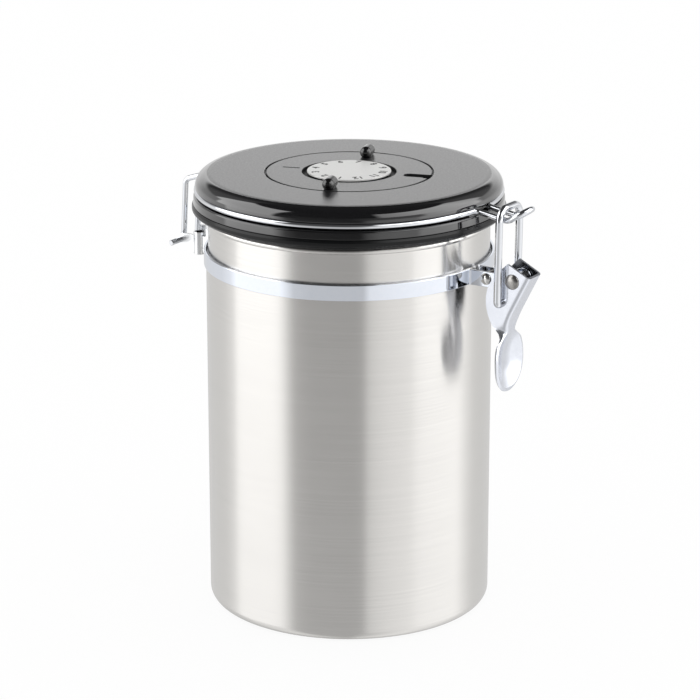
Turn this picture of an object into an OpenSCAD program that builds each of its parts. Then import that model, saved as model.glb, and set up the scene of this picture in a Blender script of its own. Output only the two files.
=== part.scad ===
// Food canister: a drawn steel body closed by a plastic lid on a wire bail,
// with an over-centre latch, a one-way vent and a month dial on top.
// Millimetres, +Z up. The origin is the centre of the base, the latch is at
// +X and the hinge at -X.

/* [Body] */
// Outer diameter of the steel body
body_d = 117; // [90:1:160]
// Height of the body's rim above the base
body_h = 165; // [120:1:240]
// Thickness of the body's sheet
body_t = 0.8; // [0.6:0.1:1.2]
// Radius of the edge round the base
foot_round = 4; // [2:0.5:6]
// How far the neck is drawn in above the band
neck_step = 1.1; // [0.6:0.1:2]
// Diameter of the curl that ends the rim
curl_d = 2.6; // [2.2:0.1:3.4]

/* [Clamp band] */
// Height of the band
band_w = 6.8; // [5.6:0.2:10]
// Thickness of the band's sheet
band_t = 0.9; // [0.6:0.1:1.2]
// Distance from the rim down to the band
band_below_rim = 14.2; // [12:0.1:22]
// Gap between the band's two ears
ear_gap = 6.2; // [5:0.2:8]
// Shank diameter of both rivets
rivet_d = 3; // [2.4:0.1:3.4]

/* [Lid] */
// How far the lid stands out past the body
lid_overhang = 5.5; // [4.5:0.1:8]
// Height of the lid above the rim
lid_h = 16.8; // [15:0.1:22]
// Radius of the rounded edge round the top
lid_round = 5.6; // [4:0.1:6]
// Thickness of the lid's mouldings
lid_t = 2; // [1.6:0.1:2.4]
// Thickness of the gasket under the lid
gasket_t = 4.4; // [3:0.1:5]
// Depth of the plug below the rim
plug_depth = 4.6; // [3:0.1:6]

/* [Bail wire] */
// Diameter of the bail wire
bail_d = 2.4; // [2:0.1:2.6]
// Distance of the hinge pins from the body
hinge_reach = 21; // [19:0.5:26]
// Distance from the rim down to the hinge pins
hinge_drop = 21.6; // [19:0.2:30]
// Distance of the catch's tip from the body
catch_reach = 25.4; // [23:0.2:30]
// Angle at which the catch turns up
catch_rise = 33; // [24:1:38]

/* [Latch] */
// Distance of the lever's pivot from the body
pivot_reach = 20.8; // [19:0.2:26]
// Gap between each ear and the wall of the lever's channel
lever_play = 0.3; // [0.2:0.1:1]
// Thickness of the lever's sheet
lever_t = 1; // [0.8:0.1:1.2]
// Width of the thumb pad
pad_w = 22; // [14:1:26]
// Height of the thumb pad
pad_h = 26; // [21:1:34]
// Diameter of the link's wire
link_d = 3; // [2.6:0.1:3.2]

/* [Month dial] */
// Diameter of the turning disc
disc_d = 67.8; // [60:0.2:80]
// Thickness of the turning disc
disc_t = 2.4; // [2:0.1:3]
// Diameter of the dial in the middle
dial_d = 35.8; // [30:0.2:40]
// Direction in which the disc points
disc_turn = 17; // [0:1:359]
// Diameter of the disc's two pegs
peg_d = 5; // [3.6:0.1:5.4]

/* [Vent] */
// Diameter of the vent's grille
grille_d = 30; // [24:1:40]
// Width of each slot in the grille
grille_slot = 1.6; // [1:0.1:2.4]

/* [Hidden] */
$fn = 96;

loose = 0.3;       // between pieces that pass each other
fit = 0.07;        // radial, between a pin and the hole it turns in
snug = 0.04;       // radial, between a pin and the hole that holds it
far = 400;         // longer than anything here

body_r = body_d / 2;
neck_r = body_r - neck_step;
curl_r = curl_d / 2;
curl_mid_r = neck_r - body_t + curl_r;
curl_mid_z = body_h - curl_r;
shoulder_h = 2 * neck_step;

band_r = body_r + band_t;
band_top_z = body_h - band_below_rim;
band_mid_z = band_top_z - band_w / 2;
band_bend = 1;     // inside radius where the band turns out into an ear
ear_y = ear_gap / 2;
ear_out_y = ear_y + band_t;
ear_rivet_x = body_r + 8.3;
ear_r = rivet_d / 2 + 2.4;                          // round end of each ear

lid_r = body_r + lid_overhang;
lid_top_z = body_h + lid_h;
gasket_z = body_h + 0.2;
base_z = gasket_z + gasket_t;                       // underside of the lid's base
lip_z = base_z + 3.5;                               // top of the lip under the bail
bail_z = lip_z + loose + 0.2 + bail_d / 2;
bail_r = lid_r - 0.9 - bail_d / 2;
cap_z = bail_z + bail_d / 2 + 0.1;                  // lower edge of the cap
cap_r = lid_r - 1.3;
cap_wall_r = bail_r - bail_d / 2 - loose;           // the wall behind the bail
cap_floor_z = lid_top_z - disc_t - 0.2;             // floor of the disc's pocket
cap_round = min(lid_round, lid_top_z - cap_z - 0.1);
plug_r = neck_r - body_t - 3.4;
plug_z = body_h - plug_depth;
plug_draft = 1.2;
screw_r = plug_r - 10;
screw_d = 3;
boss_d = 8;
dial_screw_d = 2.2;

hub_r = 16.5;                                       // the disc turns on this
hub_lip = 0.8;                                      // the disc's lip under the hub's edge
disc_r = disc_d / 2;
dial_r = dial_d / 2;
hub_edge_r = dial_r + 1;
disc_bottom_z = lid_top_z - disc_t;
dial_rise = 0.6;                                    // the dial stands above the lid
dial_t = 0.8;
moat_depth = 0.8;                                   // the groove round the dial
peg_out_r = 28.5;                                   // the pegs' distance from the middle

flap_r = 7.5;
flap_stem_d = 2.8;
grille_r = grille_d / 2;

pivot = [body_r + pivot_reach, 0, band_mid_z + 0.9];
link_pin = pivot - [5, 0, 9.7];
lever_y = ear_out_y + lever_play + lever_t;         // the channel closes over the ears
link_y = lever_y + 1.3 + link_d / 2;                // the link's legs pass the rivet's heads
catch_y = 4.5;
catch_z = lip_z - 0.6;                              // where the catch runs level
catch_tip_x = body_r + catch_reach;
catch_bend_x = body_r + 18.2;
over_centre = 2.2;                                  // slack that the over-centre stroke takes up
link_bar = [body_r + 16.3, 0, catch_z + bail_d / 2 + link_d / 2 + over_centre];

hinge = [-(body_r + hinge_reach), 0, body_h - hinge_drop];
hinge_y = 5;                                        // the bail's legs
bracket_y = 8;                                      // outside of the bracket's ears
bracket_t = 1;
pin_out = 5;                                        // how far the pins stand out of the ears

// ---------------------------------------------------------------- helpers

function unit(v) = v / norm(v);

// A path with its inner corners rounded, one radius for each of them.
bend_steps = 7;
function bend_angle(path, i) = acos(unit(path[i] - path[i - 1]) * unit(path[i + 1] - path[i]));
function bend_points(path, radius, i) =
    let (
        turn = bend_angle(path, i),
        u = unit(path[i] - path[i - 1]),
        inward = cross(unit(cross(u, path[i + 1] - path[i])), u),
        centre = path[i] - u * radius * tan(turn / 2) + inward * radius
    )
    [
        for (k = [0 : bend_steps])
            let (a = turn * k / bend_steps) centre + radius * (u * sin(a) - inward * cos(a))
    ];
function rounded_path(path, radii) = [
    path[0],
    for (i = [1 : len(path) - 2]) each bend_points(path, radii[i - 1], i),
    path[len(path) - 1]
];
function reversed(list) = [for (i = [len(list) - 1 : -1 : 0]) list[i]];
function mirrored(points) = [for (p = points) [p.x, -p.y, p.z]];

// A round wire along points: each ring of the skin is turned as little as
// possible against the one before it.
wire_sides = 14;
function tangents(points) = [
    for (i = [0 : len(points) - 1])
        i == 0 ? unit(points[1] - points[0])
        : i == len(points) - 1 ? unit(points[i] - points[i - 1])
        : unit(unit(points[i] - points[i - 1]) + unit(points[i + 1] - points[i]))
];
function carried(directions, i, normal) =
    i == len(directions) ? []
    : let (n = unit(normal - (normal * directions[i]) * directions[i]))
      concat([n], carried(directions, i + 1, n));

module wire(points, d) {
    along = tangents(points);
    normals = carried(along, 0, [0, 0, 1]);
    last = len(points) - 1;
    skin = [
        for (i = [0 : last], k = [0 : wire_sides - 1])
            let (a = 360 * k / wire_sides)
            points[i] + d / 2 * 0.99 * (normals[i] * cos(a) + cross(along[i], normals[i]) * sin(a))
    ];
    faces = [
        [for (k = [0 : wire_sides - 1]) k],
        [for (k = [wire_sides - 1 : -1 : 0]) last * wire_sides + k],
        for (i = [0 : last - 1], k = [0 : wire_sides - 1])
            let (a = i * wire_sides + k, b = i * wire_sides + (k + 1) % wire_sides)
            each [[a, a + wire_sides, b + wire_sides], [a, b + wire_sides, b]]
    ];
    polyhedron(skin, faces);
}

module both_sides() {
    children();
    mirror([0, 1, 0]) children();
}

// A flat shape drawn in X and Z, from one Y to another.
module across(y0, y1) {
    translate([0, y1, 0])
        rotate([90, 0, 0])
            linear_extrude(y1 - y0)
                children();
}

module tube(outer_r, inner_r, z0, z1) {
    translate([0, 0, z0])
        difference() {
            cylinder(r = outer_r, h = z1 - z0);
            translate([0, 0, -1]) cylinder(r = inner_r, h = z1 - z0 + 2);
        }
}

module at_screws() {
    for (a = [45 : 90 : 315])
        rotate([0, 0, a])
            translate([screw_r, 0, 0])
                children();
}

// A shank across Y with a low domed head at each end.
module rivet(at, half_length, head_d, head_h) {
    dome_r = (head_d * head_d / 4 + head_h * head_h) / (2 * head_h);
    translate([at.x, 0, at.z])
        rotate([90, 0, 0]) {
            cylinder(d = rivet_d, h = 2 * half_length, center = true);
            for (s = [0, 1])
                mirror([0, 0, s])
                    translate([0, 0, half_length])
                        intersection() {
                            translate([0, 0, head_h - dome_r]) sphere(r = dome_r);
                            cylinder(d = head_d, h = head_h + 1);
                        }
        }
}

// ---------------------------------------------------------------- canister

module canister_outline(inset) {
    r = body_r - inset;
    round = foot_round - inset;
    translate([0, inset]) {
        square([r - round, round + 1]);
        translate([0, round]) square([r, band_top_z - round - inset]);
        translate([r - round, round]) circle(r = round);
    }
    polygon([
        [0, band_top_z - 1], [r, band_top_z - 1], [r, band_top_z],
        [neck_r - inset, band_top_z + shoulder_h], [neck_r - inset, curl_mid_z], [0, curl_mid_z]
    ]);
}

// A shallow bead pressed up into the base stiffens it; the base rests flat on
// both sides of the bead.
module canister_shell() {
    bead_out_r = body_r - foot_round - 5;
    bead_w = 6;
    bead_h = 1;
    color("silver") rotate_extrude() {
        difference() {
            canister_outline(0);
            difference() {
                canister_outline(body_t);
                translate([bead_out_r - bead_w - body_t, 0])
                    square([bead_w + 2 * body_t, bead_h + body_t]);
            }
            translate([bead_out_r - bead_w, -1]) square([bead_w, bead_h + 1]);
            translate([-1, -1]) square([1, far]);
        }
        translate([curl_mid_r, curl_mid_z])
            difference() {
                circle(r = curl_r);
                circle(r = curl_r - body_t);
                translate([-curl_r - 1, -curl_r - 1]) square([curl_r + 1, curl_r + 1]);
            }
    }
}

module clamp_band() {
    turn_y = ear_out_y + band_bend;
    turn_x = band_r + band_bend;
    color("gainsboro") {
        translate([0, 0, band_top_z - band_w])
            linear_extrude(band_w) {
                difference() {
                    circle(r = band_r);
                    circle(r = body_r + 0.02);
                    translate([0, -turn_y]) square([far, 2 * turn_y]);
                }
                both_sides()
                    translate([turn_x, turn_y])
                        intersection() {
                            difference() {
                                circle(r = band_bend + band_t);
                                circle(r = band_bend);
                            }
                            translate([-10, -10]) square([10, 10]);
                        }
            }
        both_sides() across(ear_y, ear_out_y) difference() {
            union() {
                translate([turn_x, band_top_z - band_w]) square([pivot.x - turn_x, band_w]);
                translate([pivot.x, pivot.z]) circle(r = ear_r);
            }
            translate([pivot.x, pivot.z]) circle(d = rivet_d + 2 * snug);
            translate([ear_rivet_x, band_mid_z]) circle(d = rivet_d + 2 * snug);
        }
    }
}

module ear_rivet() {
    color("darkgray") rivet([ear_rivet_x, 0, band_mid_z], ear_out_y + 0.02, rivet_d + 1.8, 1.1);
}

module lever_rivet() {
    color("darkgray") rivet(pivot, lever_y + 0.1, rivet_d + 3.2, 1);
}

module spacer_sleeves() {
    color("darkgray")
        for (at = [pivot, [ear_rivet_x, 0, band_mid_z]])
            translate([at.x, 0, at.z])
                rotate([90, 0, 0])
                    tube(rivet_d / 2 + 1, rivet_d / 2 + snug, 0.02 - ear_y, ear_y - 0.02);
}

module hinge_bracket() {
    web_x = band_r + 0.05;
    ear_end_x = -hinge.x + 2.8;
    color("gainsboro") {
        across(-bracket_y, bracket_y)
            translate([-web_x - bracket_t, hinge.z - 6]) square([bracket_t, 12.4]);
        both_sides() across(bracket_y - bracket_t, bracket_y) difference() {
            mirror([1, 0]) {
                translate([web_x, hinge.z - 6]) square([7, 12.4]);
                translate([web_x + 7, hinge.z - 4]) square([5, 10.4]);
                translate([web_x + 7, hinge.z - 4]) circle(r = 2);
                translate([web_x, hinge.z - 3.9]) square([ear_end_x - web_x - 2, 7.1]);
                translate([ear_end_x - 3.6, hinge.z - 0.35]) circle(r = 3.55);
            }
            translate([hinge.x, hinge.z]) circle(d = bail_d + 2 * fit);
        }
    }
}

// ---------------------------------------------------------------- lid

// Where the straight line that leaves the ring at its tangent meets a leg at
// the distance y from the middle, and the ring's angle there.
function leave_angle(y) = asin((y + 3.6) / bail_r);
function leave_x(y) = (bail_r - y * sin(leave_angle(y))) / cos(leave_angle(y));

// Half of the bail, from the tip of the catch round the lid to the hinge pin.
function bail_half() =
    let (
        hinge_angle = leave_angle(hinge_y),
        catch_angle = leave_angle(catch_y),
        tip_z = catch_z + (catch_tip_x - catch_bend_x) * tan(catch_rise),
        ring_steps = 46,
        ring = [
            for (i = [0 : ring_steps])
                let (a = catch_angle + (180 - hinge_angle - catch_angle) * i / ring_steps)
                [bail_r * cos(a), bail_r * sin(a), bail_z]
        ],
        catch_side = rounded_path(
            [
                [catch_tip_x, 0, tip_z],
                [catch_tip_x, catch_y, tip_z],
                [catch_bend_x, catch_y, catch_z],
                [leave_x(catch_y), catch_y, bail_z],
                ring[0]
            ], [catch_y - 0.4, 4, 2.6]),
        hinge_side = rounded_path(
            [
                ring[ring_steps],
                [-leave_x(hinge_y), hinge_y, bail_z],
                [hinge.x + 1.6, hinge_y, bail_z - 5.4],
                [hinge.x, hinge_y, hinge.z],
                [hinge.x, hinge_y + 2.2, hinge.z]
            ], [2.6, 3, 1.6])
    )
    [
        for (i = [1 : len(catch_side) - 2]) catch_side[i],
        each ring,
        for (i = [1 : len(hinge_side) - 1]) hinge_side[i]
    ];

module bail_wire() {
    half = bail_half();
    color("silver") {
        wire(concat(reversed(mirrored(half)), half), bail_d);
        both_sides()
            translate([hinge.x, hinge_y + 1.8, hinge.z])
                rotate([-90, 0, 0]) cylinder(d = bail_d, h = bracket_y + pin_out - hinge_y - 1.8);
    }
}

module lid_cap() {
    inside_z = lid_top_z - lid_t;
    color([0.08, 0.08, 0.09]) difference() {
        union() {
            rotate_extrude() difference() {
                union() {
                    translate([0, cap_z]) square([cap_r - cap_round, lid_top_z - cap_z]);
                    translate([0, cap_z]) square([cap_r, lid_top_z - cap_round - cap_z]);
                    translate([cap_r - cap_round, lid_top_z - cap_round]) intersection() {
                        circle(r = cap_round);
                        square(cap_round);
                    }
                    translate([0, base_z + lid_t + 0.02])
                        square([cap_wall_r, cap_z - base_z - lid_t]);
                }
                difference() {
                    translate([0, base_z]) square([cap_wall_r - lid_t, inside_z - base_z]);
                    translate([0, cap_floor_z - lid_t])
                        square([disc_r + loose + 0.1 + lid_t, far]);
                }
            }
            at_screws() tube(boss_d / 2, screw_d / 2 - 0.05 + snug, base_z + lid_t + 0.02, inside_z + 1);
        }
        translate([0, 0, cap_floor_z]) cylinder(r = disc_r + loose + 0.1, h = 20);
        translate([0, 0, cap_floor_z - 5]) cylinder(d = dial_screw_d + 0.4, h = 20);
    }
}

module lid_base() {
    color([0.07, 0.07, 0.08]) difference() {
        rotate_extrude() {
            difference() {
                translate([0, base_z]) square([lid_r - 0.5, lip_z - base_z]);
                translate([0, base_z + lid_t]) square([cap_wall_r + loose, far]);
                translate([0, lip_z - 0.9]) difference() {
                    translate([lid_r - 1.4, 0]) square([5, 5]);
                    translate([lid_r - 1.4, 0]) circle(r = 0.9);
                }
            }
        }
        at_screws() translate([0, 0, base_z - 1]) cylinder(d = screw_d + 0.4, h = lid_t + 2);
        translate([0, 0, base_z - 1]) cylinder(d = flap_stem_d + 2 * fit, h = lid_t + 2);
        for (a = [0 : 60 : 300])
            rotate([0, 0, a])
                translate([4.6, 0, base_z - 1]) cylinder(d = 2.4, h = lid_t + 2);
        both_sides()
            translate([-lid_r - 1, hinge_y - bail_d / 2 - loose, lip_z - 1.2])
                cube([6, bail_d + 2 * loose, 5]);
    }
}

module lid_gasket() {
    seat_r = curl_mid_r + curl_r + 1.6;
    bead = 0.5;
    color([0.13, 0.13, 0.14]) rotate_extrude() {
        polygon([
            [plug_r + 0.1, gasket_z], [seat_r, gasket_z], [seat_r + 0.6, gasket_z + 0.6],
            [lid_r - 0.6, gasket_z + 0.6], [lid_r, gasket_z + 1.4], [lid_r, base_z - 1.2],
            [lid_r - bead, base_z - 0.1], [plug_r + 0.1, base_z - 0.1]
        ]);
    }
}

module lid_plug() {
    seat_z = plug_z + 1.8;
    color([0.1, 0.1, 0.11]) difference() {
        union() {
            rotate_extrude() difference() {
                polygon([
                    [0, plug_z], [plug_r - plug_draft - 1.2, plug_z], [plug_r - plug_draft - 0.3, plug_z + 0.4],
                    [plug_r - plug_draft, plug_z + 1.3], [plug_r, base_z - 0.02], [0, base_z - 0.02]
                ]);
                translate([0, plug_z + lid_t]) square([plug_r - plug_draft - lid_t, far]);
            }
            at_screws() translate([0, 0, plug_z]) cylinder(d = boss_d, h = base_z - 0.02 - plug_z);
            tube(grille_r + 1, grille_r - 1, plug_z, plug_z + 5);
        }
        translate([0, 0, plug_z - 1]) cylinder(r = grille_r - 1, h = 20);
        at_screws() translate([0, 0, plug_z - 1]) cylinder(d = screw_d + 0.4, h = 20);
        at_screws() translate([0, 0, plug_z - 0.01])
            cylinder(d1 = 2 * screw_d + 0.8, d2 = screw_d + 0.4, h = seat_z - plug_z);
    }
}

module lid_screws() {
    color("dimgray") at_screws() {
        translate([0, 0, plug_z + 0.3]) cylinder(d1 = 2 * screw_d - 0.1, d2 = screw_d - 0.1, h = 1.6);
        translate([0, 0, plug_z + 0.3]) cylinder(d = screw_d - 0.1, h = base_z + 6 - plug_z);
    }
}

module dial_hub() {
    edge_z = disc_bottom_z + hub_lip + loose;
    seat_z = lid_top_z + dial_rise - dial_t - 0.02;
    color([0.06, 0.06, 0.07]) difference() {
        union() {
            translate([0, 0, cap_floor_z + 0.02]) cylinder(r = hub_r, h = edge_z - cap_floor_z);
            translate([0, 0, edge_z]) cylinder(r = hub_edge_r, h = lid_top_z - moat_depth - edge_z);
            translate([0, 0, edge_z]) cylinder(r = dial_r, h = seat_z - edge_z);
        }
        translate([0, 0, cap_floor_z - 1]) cylinder(d = dial_screw_d + 0.1, h = 2.6);
        for (a = [0 : 60 : 300])
            rotate([0, 0, a]) translate([10, 0, cap_floor_z - 1]) cylinder(r = 3.2, h = 1.9);
    }
}

module dial_face() {
    color([0.83, 0.83, 0.82])
        translate([0, 0, lid_top_z + dial_rise - dial_t]) cylinder(r = dial_r, h = dial_t);
}

module dial_screw() {
    head_h = 1.26;
    head_z = cap_floor_z - lid_t - 0.02 - head_h;
    color("dimgray") {
        translate([0, 0, head_z]) cylinder(d = 5, h = head_h);
        translate([0, 0, head_z]) cylinder(d = dial_screw_d, h = cap_floor_z + 1.2 - head_z);
    }
}

module vent_grille() {
    color([0.1, 0.1, 0.11]) difference() {
        union() {
            translate([0, 0, plug_z - 0.8]) cylinder(r = grille_r + 0.5, h = 0.78);
            translate([0, 0, plug_z - 0.8]) cylinder(r = grille_r - 1 - snug, h = 2.4);
        }
        for (ring = [0 : 2])
            for (a = [0 : 360 / (6 + 4 * ring) : 359])
                rotate([0, 0, a])
                    translate([3.6 + 3.6 * ring, 0, plug_z - 2]) cylinder(d = grille_slot, h = 5);
    }
}

module vent_filter() {
    color("ivory") translate([0, 0, plug_z + 1.62]) cylinder(r = grille_r - 1.2, h = 1.6);
}

// An umbrella valve: its skirt covers the ring of vent holes and its stem is
// snapped through the middle one.
module vent_flap() {
    skirt_z = base_z + lid_t + 0.1;
    bulb_z = base_z - 2.4;
    color([0.75, 0.75, 0.73]) {
        translate([0, 0, skirt_z])
            rotate_extrude()
                polygon([[0, 0], [flap_r, 0], [flap_r, 0.4], [3, 1.3], [0, 1.3]]);
        translate([0, 0, bulb_z]) cylinder(d = flap_stem_d, h = skirt_z - bulb_z + 0.5);
        translate([0, 0, bulb_z]) sphere(d = 4);
    }
}

// ---------------------------------------------------------------- month dial

module date_disc() {
    pointer_in_r = 24.2;
    pointer_w = 2.6;
    pointer_z = lid_top_z - 1.6;
    color([0.07, 0.07, 0.08]) rotate([0, 0, disc_turn]) difference() {
        union() {
            tube(disc_r, hub_edge_r + 0.25, disc_bottom_z, lid_top_z);
            tube(hub_edge_r + 1, hub_r + fit, disc_bottom_z, disc_bottom_z + hub_lip);
        }
        translate([0, 0, pointer_z]) linear_extrude(5) polygon([
            [pointer_in_r, -pointer_w / 2], [disc_r - 2.4, -pointer_w / 2],
            [disc_r - 1.6, -pointer_w / 2 - 0.6], [disc_r + 1, -pointer_w / 2 - 0.8],
            [disc_r + 1, pointer_w / 2], [pointer_in_r, pointer_w / 2]
        ]);
        translate([pointer_in_r, 0, pointer_z]) cylinder(d = pointer_w, h = 5);
        translate([-hub_edge_r - 9.3, -0.3, lid_top_z - 0.4]) cube([7.5, 0.6, 5]);
        for (side = [-1, 1])
            translate([0, side * peg_out_r, disc_bottom_z - 1]) cylinder(r = 1.2 + snug, h = 10);
    }
}

module disc_pegs() {
    peg_length = 9.6;
    peg_sink = 0.6;
    middle_z = lid_top_z + peg_d / 2 - peg_sink;
    color([0.05, 0.05, 0.06]) rotate([0, 0, disc_turn])
        for (side = [-1, 1])
            translate([0, side * peg_out_r, 0]) {
                difference() {
                    translate([0, 0, middle_z]) rotate([90, 0, 0]) {
                        cylinder(d = peg_d, h = peg_length - peg_d, center = true);
                        for (end = [-1, 1])
                            translate([0, 0, end * (peg_length - peg_d) / 2]) sphere(d = peg_d);
                    }
                    translate([-5, -5, lid_top_z - 5 + 0.02]) cube([10, 10, 5]);
                }
                translate([0, 0, disc_bottom_z + 0.1]) cylinder(r = 1.2, h = middle_z - disc_bottom_z);
            }
}

// ---------------------------------------------------------------- latch

// The lever is one sheet, a channel that closes over the ears and opens into
// the thumb pad. d is the distance down from the pivot; s runs across the
// sheet from one free edge to the other, over the web, its corner and the side
// wall.
web_s = 0.34;
corner_s = 0.6;
lever_corner = 1.7;
pad_top = 20.8;
neck_half = 5;
pad_dish = 2.4;
pad_rim = 1;           // how far the pad's rim turns back

// Each curve is a list of [distance down, value].
lever_front = [        // the web's distance in front of the pivot
    [-8, 10.66], [-2, 7.6], [8, 2.5], [14.5, -0.75], [18, -2.1], [21, -2.75], [25, -2.85],
    [pad_top + 0.35 * pad_h, -2.6], [pad_top + 0.58 * pad_h, -2.4], [pad_top + 0.81 * pad_h, -2.7],
    [pad_top + pad_h, -3.5], [pad_top + 1.25 * pad_h, -4.6]
];
wall_depth = [         // the side walls' depth behind the web
    [-6.5, 9.2], [-2, 11], [3.4, 12.9], [8.5, 13.9], [11.4, 13.5], [14.7, 12], [17.7, 9.4],
    [20.1, 6.6], [22.2, 4], [24.7, 2.4], [28.3, 1.7], [51.5, 1], [80, 1]
];
function through(curve, x) =
    let (
        passed = [for (k = [1 : len(curve) - 3]) if (k == 1 || x >= curve[k][0]) k],
        i = passed[len(passed) - 1],
        a = curve[i - 1], b = curve[i], c = curve[i + 1], e = curve[i + 2],
        u = (x - b[0]) / (c[0] - b[0]),
        rise = c[1] - b[1],
        rise_b = (c[1] - a[1]) / (c[0] - a[0]) * (c[0] - b[0]),
        rise_c = (e[1] - b[1]) / (e[0] - b[0]) * (c[0] - b[0])
    )
    b[1] + u * (rise_b + u * (3 * rise - 2 * rise_b - rise_c + u * (rise_b + rise_c - 2 * rise)));

function eased(t) = t <= 0 ? 0 : t >= 1 ? 1 : t * t * (3 - 2 * t);
function pad_oval(d) = pow(max(0, 1 - pow(abs(2 * (d - pad_top) / pad_h - 1), 2.3)), 1 / 2.3);
function lever_out(d) =
    let (slope = (through(lever_front, d + 0.2) - through(lever_front, d - 0.2)) / 0.4)
    unit([1, 0, slope]);

function channel_at(d, a) =            // [half width, depth]
    let (
        half = lever_y - 0.3 * eased((d - 14) / 5),
        depth = through(wall_depth, d),
        corner = min(lever_corner, 0.9 * depth),
        turn = 90 * (a - web_s) / (corner_s - web_s)
    )
    a < web_s ? [(half - corner) * a / web_s, 0]
    : a < corner_s ? [half - corner + corner * sin(turn), corner * (1 - cos(turn))]
    : [half, corner + (depth - corner) * (a - corner_s) / (1 - corner_s)];
function pad_at(d, a) =
    let (
        oval = pad_oval(d),
        half = max(pad_w / 2 * oval, neck_half * eased((pad_top + 9 - d) / 7), 0.3)
    )
    [half * a, pad_dish * pow(oval, 1.5) * (1 - a * a) + pad_rim * pow(a, 6) * oval];
function lever_point(d, s) =
    let (
        a = abs(s),
        blend = eased((d - pad_top + 5.9 - 5.3 * a) / 6.2),
        at = channel_at(d, a) * (1 - blend) + pad_at(d, a) * blend
    )
    pivot + [through(lever_front, d), (s < 0 ? -1 : 1) * at[0], -d] - lever_out(d) * at[1];
function lever_back(d, s) =
    let (
        across_s = lever_point(d, s + 0.01) - lever_point(d, s - 0.01),
        along_d = lever_point(d + 0.1, s) - lever_point(d - 0.1, s),
        on_pad = eased((d - pad_top - 2) / 6)
    )
    lever_point(d, s)
    + lever_t * unit(unit(cross(across_s, along_d)) * (1 - on_pad) - lever_out(d) * on_pad);

lever_rows = [
    for (k = [0 : 9]) -2 + 1.3 * k,
    for (k = [0 : 33]) 11 + (pad_top + pad_h - 11) * sin(90 * k / 33)
];
lever_half_row = [
    for (k = [0 : 3]) web_s * k / 4,
    for (k = [0 : 3]) web_s + (corner_s - web_s) * k / 4,
    for (k = [0 : 6]) corner_s + (1 - corner_s) * k / 6
];
lever_row = concat(
    [for (k = [len(lever_half_row) - 1 : -1 : 1]) -lever_half_row[k]], lever_half_row);

module lever_sheet() {
    columns = len(lever_row);
    rows = len(lever_rows);
    side = rows * columns;
    points = [
        for (d = lever_rows, s = lever_row) lever_point(d, s),
        for (d = lever_rows, s = lever_row) lever_back(d, s)
    ];
    function quad(a, b, c, d) = [[a, c, b], [a, d, c]];
    faces = [
        for (i = [0 : rows - 2], j = [0 : columns - 2])
            let (a = i * columns + j)
            each concat(
                quad(a, a + columns, a + columns + 1, a + 1),
                quad(side + a, side + a + 1, side + a + columns + 1, side + a + columns)),
        for (j = [0 : columns - 2])
            let (a = j, b = (rows - 1) * columns + j)
            each concat(
                quad(a, a + 1, side + a + 1, side + a),
                quad(b + 1, b, side + b, side + b + 1)),
        for (i = [0 : rows - 2])
            let (a = i * columns, b = i * columns + columns - 1)
            each concat(
                quad(a + columns, a, side + a, side + a + columns),
                quad(b, b + columns, side + b + columns, side + b))
    ];
    polyhedron(points, faces);
}

module latch_lever() {
    color("gainsboro") difference() {
        lever_sheet();
        translate([pivot.x, 0, pivot.z])
            rotate([90, 0, 0]) cylinder(d = rivet_d + 2 * fit, h = 30, center = true);
        translate([link_pin.x, 0, link_pin.z])
            rotate([90, 0, 0]) cylinder(d = link_d + 2 * fit, h = 30, center = true);
    }
}

module latch_link() {
    pin_end = lever_y - lever_t - 0.2;
    pin_bend = 1.8;
    half = rounded_path(
        [
            link_bar, link_bar + [0, link_y, 0],
            link_pin + [0, link_y, 0], link_pin + [0, link_y - pin_bend - 0.3, 0]
        ], [5, pin_bend]);
    outer = [for (i = [1 : len(half) - 1]) half[i]];
    color("silver") {
        wire(concat(reversed(mirrored(outer)), outer), link_d);
        both_sides()
            translate([link_pin.x, pin_end, link_pin.z])
                rotate([-90, 0, 0]) cylinder(d = link_d, h = link_y - pin_bend - pin_end - 0.1);
    }
}

canister_shell();
clamp_band();
hinge_bracket();
ear_rivet();
lever_rivet();
spacer_sleeves();
bail_wire();
lid_cap();
lid_base();
lid_gasket();
lid_plug();
lid_screws();
dial_hub();
dial_face();
dial_screw();
vent_grille();
vent_filter();
vent_flap();
date_disc();
disc_pegs();
latch_lever();
latch_link();
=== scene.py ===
# Food canister with a latched lid: a brushed steel body, a glossy black lid that
# carries a month dial, and a plated wire bail with an over-centre latch.
# Every dictionary is in millimetres and degrees; the meshes are in metres, +Z up,
# with the latch at +X and the hinge at -X.

import bpy
import math
from mathutils import Matrix, Vector


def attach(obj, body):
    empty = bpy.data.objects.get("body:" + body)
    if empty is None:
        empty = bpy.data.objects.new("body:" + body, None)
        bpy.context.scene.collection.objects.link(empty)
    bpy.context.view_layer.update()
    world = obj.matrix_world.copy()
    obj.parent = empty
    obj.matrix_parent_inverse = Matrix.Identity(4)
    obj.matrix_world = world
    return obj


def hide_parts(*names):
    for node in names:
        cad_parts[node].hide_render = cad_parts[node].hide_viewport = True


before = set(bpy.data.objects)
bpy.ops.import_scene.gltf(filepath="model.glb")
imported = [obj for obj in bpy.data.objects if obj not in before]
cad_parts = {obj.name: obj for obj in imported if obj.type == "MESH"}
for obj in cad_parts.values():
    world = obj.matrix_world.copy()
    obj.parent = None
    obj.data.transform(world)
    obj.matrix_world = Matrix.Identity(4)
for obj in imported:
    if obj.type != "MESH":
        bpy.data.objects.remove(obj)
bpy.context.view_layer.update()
mm = 0.001
mirrorWeld = 0.005 * mm                                    # how far halves may be apart to join
print("frame loaded")


# Tools for modelling

def startClean():
    if bpy.context.object and bpy.context.object.mode != "OBJECT":
        bpy.ops.object.mode_set(mode="OBJECT")
    bpy.ops.object.select_all(action="DESELECT")


def edit(piece):
    startClean()
    bpy.context.view_layer.objects.active = piece
    piece.select_set(True)
    bpy.ops.object.mode_set(mode="EDIT")
    bpy.ops.mesh.select_mode(type="VERT")
    bpy.ops.mesh.select_all(action="SELECT")


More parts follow.
